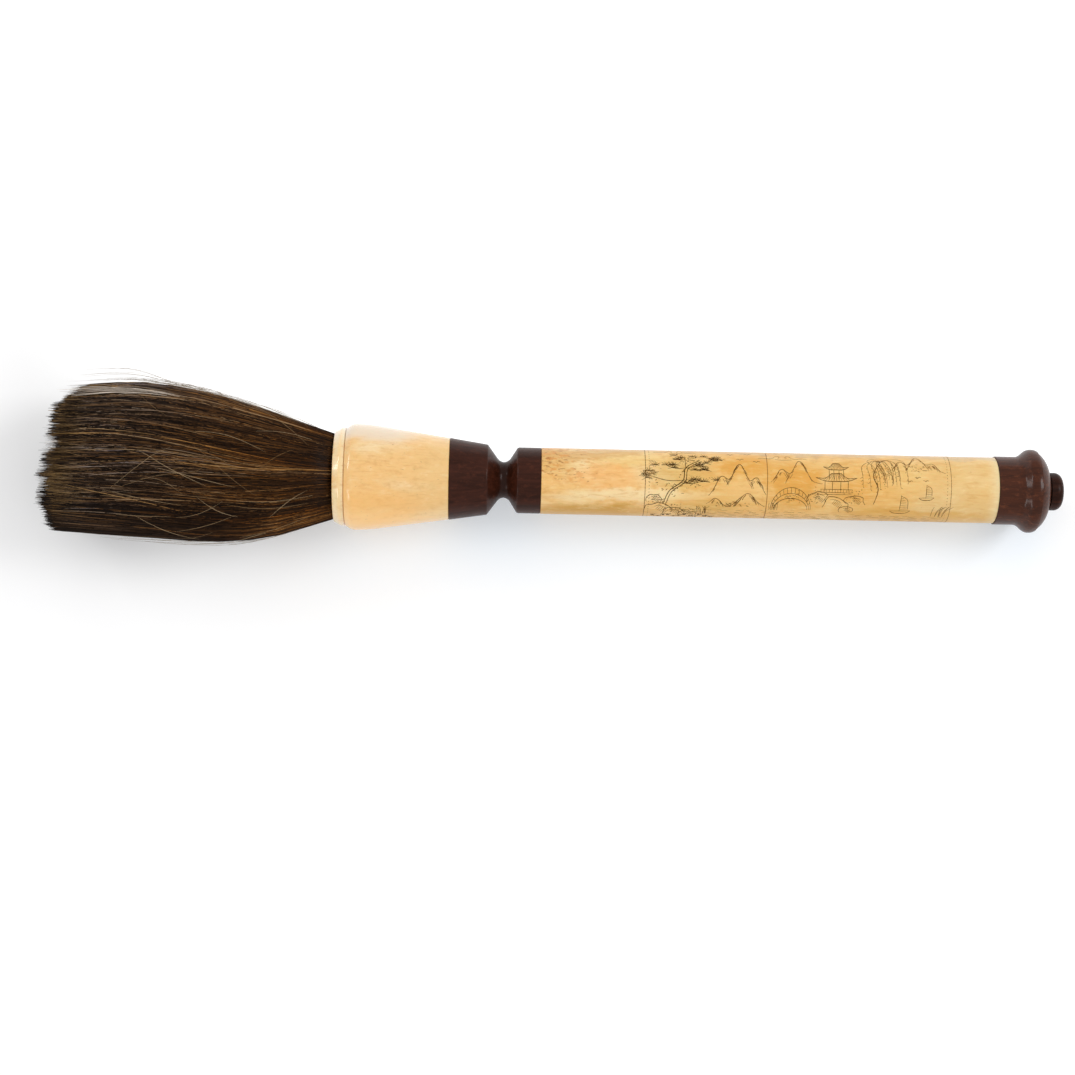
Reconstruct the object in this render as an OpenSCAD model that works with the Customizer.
// Large calligraphy brush with a bone ferrule and tube, turned wood fittings and a hair tuft.
// It lies on a flat surface, on its ferrule, its pommel and the flattened underside of its tuft.
// Units are millimetres, +Z is up, and the handle runs along +X, away from the tuft.
//
// Every turned piece is drawn along the handle's own axis, whose zero is the face of the mouth:
// the hair is at negative places and the handle at positive ones. lay() then rests it on Z = 0.

/* [Mouth ring] */
// Length of the ring along the handle
ring_len = 4; // [2.5:0.1:5]
// Radius of the ring at its open face
ring_face_r = 16.3; // [16.1:0.1:16.9]
// Largest radius of the ring
ring_r = 17.7; // [17.5:0.1:18.1]

/* [Ferrule] */
// Length of the bone ferrule
ferrule_len = 37.1; // [30:0.1:50]
// Largest radius of the ferrule, just behind the ring
ferrule_r = 19.1; // [18.6:0.05:21]
// Radius of the ferrule where it meets the neck
ferrule_back_r = 14.7; // [13:0.1:16]
// Radius of the small land between the ring and the ferrule's shoulder
land_r = 17.2; // [16.6:0.1:17.5]
// Length of that land
land_len = 0.3; // [0.2:0.1:1.5]
// Length of the shoulder that rises from the land
shoulder_len = 2.1; // [1.5:0.1:4]
// Distance from the land to the place where the taper begins
bulge_len = 7.1; // [6.5:0.1:9]
// Radius of the round that leads from the bulge into the taper
bulge_round = 50; // [30:1:60]
// Radius of the pocket that holds the tied root of the hair
pocket_r = 15.5; // [14:0.1:15.7]
// Depth of the pocket, from the face of the mouth
pocket_depth = 14; // [12:0.5:20]
// Radius of the marrow bore behind the pocket
marrow_r = 9.2; // [7:0.1:11]

/* [Neck] */
// Length of the tapered front stretch of the neck
neck_cone_len = 13.6; // [10:0.1:20]
// Radius at the thin end of that stretch
neck_cone_r = 12.65; // [11:0.05:13.2]
// Radius of the waist
waist_r = 6.4; // [5.5:0.05:8]
// Distance from the front stretch to the middle of the waist
waist_front = 5.7; // [5.5:0.1:8]
// Distance from the middle of the waist to the collar
waist_back = 5.1; // [4.5:0.1:7]
// Radius of the collar that meets the tube
collar_r = 11.85; // [11:0.05:12.2]
// Length of the collar
collar_len = 8.4; // [5:0.1:15]
// Radius of the round at the bottom of the waist
waist_round = 3.2; // [2:0.1:4]

/* [Bone tube] */
// Radius of the tube
tube_r = 11.9; // [10.5:0.05:13]
// Length of the front piece of the tube
tube_front_len = 80.4; // [60:0.1:120]
// Length of the rear piece of the tube
tube_rear_len = 83; // [60:0.1:120]
// Radius of the bore
bore_r = 7; // [5.5:0.1:8]
// Length of the neck's tenon in the tube
neck_tenon_len = 18; // [10:1:30]

/* [Pommel and knob] */
// Radius of the pommel's straight stretch
pommel_r = 12.3; // [11:0.05:13]
// Distance from the tube to the rise of the bead
pommel_straight = 8.5; // [6:0.1:15]
// Largest radius of the bead
bead_r = 15.05; // [14.2:0.05:16.5]
// Length of the rise to the bead
bead_rise = 3.2; // [3:0.1:5]
// Length of the bead's top
bead_top = 2.2; // [2.1:0.1:4]
// Length of the bead's fall to the crease
bead_fall = 1; // [0.8:0.1:2]
// Drop in radius from the bead's top to the crease
crease_drop = 0.4; // [0.2:0.05:0.6]
// Length of the dome behind the crease
dome_len = 4.5; // [4.2:0.1:6]
// Length of the pommel's tenon in the tube
pommel_tenon_len = 18; // [10:1:30]
// Radius of the knob
knob_r = 6.8; // [5.5:0.1:8]
// Length of the knob, without its undercut
knob_len = 4.7; // [4:0.1:8]
// Radius of the round at the knob's end
knob_round = 2.8; // [1.5:0.1:3]
// Radius of the undercut that takes a hanging loop
undercut_r = 5.6; // [4:0.1:6]
// Length of the undercut
undercut_len = 0.6; // [0.4:0.1:3]
// Radius of the knob's peg
peg_r = 3; // [2:0.1:4]
// Length of the knob's peg
peg_len = 12; // [8:0.5:16]

/* [Tuft] */
// Length of the hair that shows, from the mouth to the tip
tuft_len = 100; // [80:1:130]
// Width of the tuft where it is widest
tuft_width = 55.2; // [45:0.1:65]
// Rise of the tuft above the handle's axis where it is fullest
tuft_rise = 21.5; // [18:0.1:26]
// Fall of the tuft below that axis, before the ground flattens it
tuft_fall = 24; // [21:0.1:28]
// Sideways bend of the tuft
tuft_bend = 4.6; // [0:0.1:10]
// Radial space between the hair and the rim of the mouth
mouth_space = 1; // [0.4:0.1:2]
// How much longer one side of the blunt tip is than the other
tip_slant = 4; // [0:0.5:8]
// Radius of the tied waist of the root
root_waist_r = 13.4; // [11:0.1:14]
// Radius of the binding thread
thread_r = 0.5; // [0.3:0.05:0.8]
// Number of turns of the binding thread
thread_turns = 7; // [3:1:10]
// Thickness of the cake of resin behind the root
resin_len = 2; // [1:0.1:4]

/* [Clearances] */
// Radial clearance of each glued tenon, peg and dowel in its bore
glue_gap = 0.15; // [0.05:0.05:0.3]
// Gap between the ends of the tenons and the dowel
end_gap = 0.3; // [0.1:0.1:0.8]
// Clearance round the hair, and between its two bundles
hair_gap = 0.3; // [0.2:0.05:0.5]
// Broken edge of each turned piece at its joints
edge = 0.2; // [0.1:0.05:0.4]

/* [Hidden] */

$fn = 96;
round_step = 9;  // degrees between the points of a rounded corner

bone = "#e9c08a";
bone_light = "#f4dcae";
dark_wood = "#45291f";
hair_brown = "#4b3420";
hair_dark = "#33241a";
thread_grey = "#b9b1a2";
resin_amber = "#8a5a24";

// Places along the handle
ferrule_front = ring_len;
ferrule_back = ferrule_front + ferrule_len;
land_end = ferrule_front + land_len;
taper_start = land_end + bulge_len;
neck_edge = ferrule_back + neck_cone_len;
waist_mid = neck_edge + waist_front;
collar_front = waist_mid + waist_back;
tube_start = collar_front + collar_len;
seam = tube_start + tube_front_len;
tube_end = seam + tube_rear_len;
bead_front = tube_end + pommel_straight + bead_rise;
bead_back = bead_front + bead_top;
crease = bead_back + bead_fall;
pommel_end = crease + dome_len;
knob_front = pommel_end + undercut_len;
knob_end = knob_front + knob_len;

// Sizes that follow from the others
root_r = pocket_r - mouth_space;
thread_ring_r = root_waist_r + hair_gap + thread_r;
resin_front = pocket_depth - resin_len;
thread_pitch = 1.8 * thread_r;
binding_back = resin_front - thread_r - edge;
waist_front_end = binding_back - thread_pitch * (thread_turns - 1) - thread_r - edge;
neck_tenon_end = tube_start + neck_tenon_len;
pommel_tenon_end = tube_end - pommel_tenon_len;
ring_lip_round = 0.4;
ring_round = 2;
ring_back = 1.5;  // stretch of the ring behind its convex front
shoulder_round = 4;
bead_round = 3.4;
bead_back_round = 3.7;
crease_step = 0.3;
dome_round = 9.5;
dome_corner_back = 1.05;  // from the end of the dome to the corner of its outline
dome_corner_drop = 3.15;  // and from the bead's top
neck_rim_round = 0.9;
collar_rim_round = 1.2;

// Rest on the ground: the line under the handle touches the round behind the ferrule's bulge
// and the round of the bead's back, so the handle leans by rest_tilt degrees.
taper_angle = atan((ferrule_r - ferrule_back_r) / (ferrule_back - taper_start));
fall_angle = atan(crease_drop / bead_fall);
touch_front = [taper_start - bulge_round * tan(taper_angle / 2), ferrule_r - bulge_round];
touch_back = [bead_back - bead_back_round * tan(fall_angle / 2), bead_r - bead_back_round];
touch_run = touch_back - touch_front;
rest_tilt = asin((bulge_round - bead_back_round) / norm(touch_run))
          - atan(touch_run[1] / touch_run[0]);
rest_height = touch_front[1] * cos(rest_tilt) + touch_front[0] * sin(rest_tilt) + bulge_round;

// A place on the brush, along, across and up from its axis, as a place above the ground
function rested(p) = [
    p[0] * cos(rest_tilt) + p[2] * sin(rest_tilt),
    p[1],
    rest_height - p[0] * sin(rest_tilt) + p[2] * cos(rest_tilt)
];

// Rounded outlines. Each corner is [place along the axis, radius, radius of its round].
function unit(v) = v / norm(v);
function turned(v, a) = [v[0] * cos(a) - v[1] * sin(a), v[0] * sin(a) + v[1] * cos(a)];
function rounded_corner(before, at, after, r) =
    let (
        u = unit(before - at),
        v = unit(after - at),
        half = acos(u * v) / 2,
        centre = at + unit(u + v) * r / sin(half),
        first = at + u * r / tan(half) - centre,
        sweep = (180 - 2 * half) * sign(u[1] * v[0] - u[0] * v[1]),
        steps = max(2, ceil(abs(sweep) / round_step))
    )
    [for (i = [0 : steps]) centre + turned(first, sweep * i / steps)];
function place(c) = [c[0], c[1]];
function outline(corners) = [
    for (i = [0 : len(corners) - 1])
        let (c = corners[i])
        each c[2] == 0 ? [place(c)]
            : rounded_corner(place(corners[i - 1]), place(c), place(corners[i + 1]), c[2])
];

// Tuft. Its section at each place along it is a rounded shape that swells from the root, bends
// to one side and is cut flat by the ground.
section_points = 32;
section_power = 2.2;
tuft_rings = 13;
swell_share = 0.66;   // share of the tuft's length over which it swells
swell_power = 2.2;
bend_start = 0.15;    // share of its length at which it starts to bend
bend_share = 0.6;     // and share over which it bends
cover_share = 0.965;  // share of its length that the outer bundle reaches
root_core_share = 0.56;  // share of the section that the core fills at the root
tip_core_share = 0.84;   // and at the tip
blunt_share = 0.2;       // how much the section shrinks at the blunt tip

function blend(x) = let (c = max(0, min(1, x))) c * c * (3 - 2 * c);
function swell(t) = 1 - pow(1 - min(1, t / swell_share), swell_power);
function tip_size(t) = 1 - 0.06 * blend((t - 0.7) / 0.3) - blunt_share * pow(max(0, (t - 0.9) / 0.1), 2);
function half_width(t) = (root_r + (tuft_width / 2 - root_r) * swell(t)) * tip_size(t);
function rise(t) = (root_r + (tuft_rise - root_r) * swell(t)) * tip_size(t);
function fall(t) = (root_r + (tuft_fall - root_r) * swell(t)) * tip_size(t);
function bend(t) = tuft_bend * blend((t - bend_start) / bend_share);
function slant(t, y) = tip_slant * y / tuft_width * blend((t - 0.6) / 0.4);
function power(x) = sign(x) * pow(abs(x), 2 / section_power);
function core_share(t) = root_core_share + (tip_core_share - root_core_share) * t;

// Section of the free hair at share t of its length, its sizes times share and plus gap
function free_section(t, share, gap) = [
    for (k = [0 : section_points - 1])
        let (
            a = 360 * k / section_points,
            y = power(cos(a)) * (half_width(t) * share + gap),
            up = power(sin(a)) * ((sin(a) > 0 ? rise(t) : fall(t)) * share + gap),
            p = rested([slant(t, y) - hair_gap - t * (tuft_len - hair_gap), y + bend(t), up])
        )
        [p[0], p[1], max(0, p[2])]
];

// Section of the tied root at a place along the handle, a plain circle
function root_section(at, r) = [
    for (k = [0 : section_points - 1])
        let (a = 360 * k / section_points)
        rested([at, r * cos(a), r * sin(a)])
];

root_places = [
    [resin_front, root_waist_r],
    [waist_front_end, root_waist_r],
    [waist_front_end - (root_r - root_waist_r), root_r]
];

cover_outer = concat(
    [for (p = root_places) root_section(p[0], p[1])],
    [for (i = [0 : tuft_rings - 1]) free_section(cover_share * i / (tuft_rings - 1), 1, 0)]
);
cover_inner = concat(
    [for (p = root_places) root_section(p[0], root_waist_r * root_core_share + hair_gap)],
    [for (i = [0 : tuft_rings - 1])
        let (t = cover_share * i / (tuft_rings - 1))
        free_section(t, core_share(t), hair_gap)]
);
core_rings = concat(
    [for (p = root_places) root_section(p[0], root_waist_r * root_core_share)],
    [for (i = [0 : tuft_rings])
        let (t = min(1, cover_share * i / (tuft_rings - 1)))
        free_section(t, core_share(t), 0)]
);

// Faces of a skin over rings of points, closed round each ring. A loop of rings comes back to
// its first, and an open run of rings has flat ends.
function flat(list) = [for (part = list) each part];
function skin_faces(rings, loop) = concat(
    [for (i = [0 : rings - (loop ? 1 : 2)]) for (k = [0 : section_points - 1])
        let (
            next = (k + 1) % section_points,
            here = i * section_points,
            there = ((i + 1) % rings) * section_points
        )
        each [[here + k, there + next, here + next], [here + k, there + k, there + next]]],
    loop ? [] : [
        [for (k = [0 : section_points - 1]) k],
        [for (k = [section_points - 1 : -1 : 0]) (rings - 1) * section_points + k]
    ]
);

// The origin is under the middle of the whole brush
hair_points = flat(concat(cover_outer, core_rings));
knob_round_centre = rested([knob_end - knob_round, 0, knob_r - knob_round]);
x_low = min([for (p = hair_points) p[0]]);
x_high = knob_round_centre[0] + knob_round;
y_low = min(-ferrule_r, min([for (p = hair_points) p[1]]));
y_high = max(ferrule_r, max([for (p = hair_points) p[1]]));
middle = [(x_low + x_high) / 2, (y_low + y_high) / 2, 0];

module lay() {
    translate([0, 0, rest_height] - middle) rotate([0, rest_tilt, 0]) children();
}

// A turned solid: the outline is given as corners along the handle, and closed on the axis
module turn(corners) {
    ends = [[corners[len(corners) - 1][0], 0], [corners[0][0], 0]];
    rotate([0, 90, 0])
        rotate_extrude()
            polygon([for (p = concat(outline(corners), ends)) [p[1], p[0]]]);
}

// A round hole along the handle's axis, from one place to another
module bore(from, to, r) {
    translate([from, 0, 0]) rotate([0, 90, 0]) cylinder(r = r, h = to - from);
}

module hair_core() {
    color(hair_dark)
        translate(-middle)
            polyhedron(flat(core_rings), skin_faces(len(core_rings), false));
}

module hair_cover() {
    loop_rings = concat(cover_outer, [for (i = [len(cover_inner) - 1 : -1 : 0]) cover_inner[i]]);
    color(hair_brown)
        translate(-middle)
            polyhedron(flat(loop_rings), skin_faces(len(loop_rings), true));
}

module root_binding() {
    color(thread_grey)
        lay()
            rotate([0, 90, 0])
                rotate_extrude()
                    for (i = [0 : thread_turns - 1])
                        translate([thread_ring_r, binding_back - i * thread_pitch])
                            circle(r = thread_r);
}

module root_resin() {
    color(resin_amber)
        lay() bore(resin_front, pocket_depth, pocket_r - glue_gap);
}

module mouth_ring() {
    color(bone_light)
        lay()
            difference() {
                turn([
                    [0, pocket_r, 0],
                    [0, ring_face_r, ring_lip_round],
                    [ring_len - ring_back, ring_r, ring_round],
                    [ring_len - edge, ring_r, 0],
                    [ring_len, ring_r - edge, 0]
                ]);
                bore(-1, ring_len + 1, pocket_r);
            }
}

module ferrule() {
    color(bone)
        lay()
            difference() {
                turn([
                    [ferrule_front, land_r, 0],
                    [land_end, land_r, 0],
                    [land_end, land_r + (ferrule_r - land_r) / 4, 0],
                    [land_end + shoulder_len, ferrule_r, shoulder_round],
                    [taper_start, ferrule_r, bulge_round],
                    [ferrule_back - edge, ferrule_back_r + edge * tan(taper_angle), 0],
                    [ferrule_back, ferrule_back_r - edge, 0]
                ]);
                bore(ferrule_front - 1, pocket_depth, pocket_r);
                bore(pocket_depth - 1, ferrule_back + 1, marrow_r);
            }
}

module neck() {
    color(dark_wood)
        lay()
            turn([
                [pocket_depth, marrow_r - glue_gap, 0],
                [ferrule_back, marrow_r - glue_gap, 0],
                [ferrule_back, ferrule_back_r - edge, 0],
                [ferrule_back + edge, ferrule_back_r, 0],
                [neck_edge, neck_cone_r, neck_rim_round],
                [waist_mid - waist_front / 5, waist_r, waist_round],
                [waist_mid + waist_back / 3, waist_r, waist_round],
                [collar_front, collar_r, collar_rim_round],
                [tube_start - edge, collar_r, 0],
                [tube_start, collar_r - edge, 0],
                [tube_start, bore_r - glue_gap, 0],
                [neck_tenon_end, bore_r - glue_gap, 0]
            ]);
}

module bone_length(from, to) {
    difference() {
        turn([
            [from, tube_r - edge, 0],
            [from + edge, tube_r, 0],
            [to - edge, tube_r, 0],
            [to, tube_r - edge, 0]
        ]);
        bore(from - 1, to + 1, bore_r);
    }
}

module tube_front() {
    color(bone) lay() bone_length(tube_start, seam);
}

module tube_rear() {
    color(bone) lay() bone_length(seam, tube_end);
}

module core_dowel() {
    color("burlywood")
        lay() bore(neck_tenon_end + end_gap, pommel_tenon_end - end_gap, bore_r - glue_gap);
}

module pommel() {
    color(dark_wood)
        lay()
            difference() {
                turn([
                    [pommel_tenon_end, bore_r - glue_gap, 0],
                    [tube_end, bore_r - glue_gap, 0],
                    [tube_end, pommel_r - edge, 0],
                    [tube_end + edge, pommel_r, 0],
                    [tube_end + pommel_straight, pommel_r, bead_round],
                    [bead_front, bead_r, bead_round],
                    [bead_back, bead_r, bead_back_round],
                    [crease, bead_r - crease_drop, 0],
                    [crease, bead_r - crease_drop - crease_step, 0],
                    [pommel_end - dome_corner_back, bead_r - dome_corner_drop, dome_round],
                    [pommel_end, knob_r + edge, 0]
                ]);
                bore(pommel_end - peg_len - end_gap, pommel_end + 1, peg_r + glue_gap);
            }
}

module knob() {
    color(dark_wood)
        lay()
            turn([
                [pommel_end - peg_len, peg_r, 0],
                [pommel_end, peg_r, 0],
                [pommel_end, undercut_r, 0],
                [knob_front, undercut_r, 0],
                [knob_front, knob_r, 0],
                [knob_end, knob_r, knob_round],
                [knob_end, 0, 0]
            ]);
}

hair_core();
hair_cover();
root_binding();
root_resin();
mouth_ring();
ferrule();
neck();
tube_front();
core_dowel();
tube_rear();
pommel();
knob();
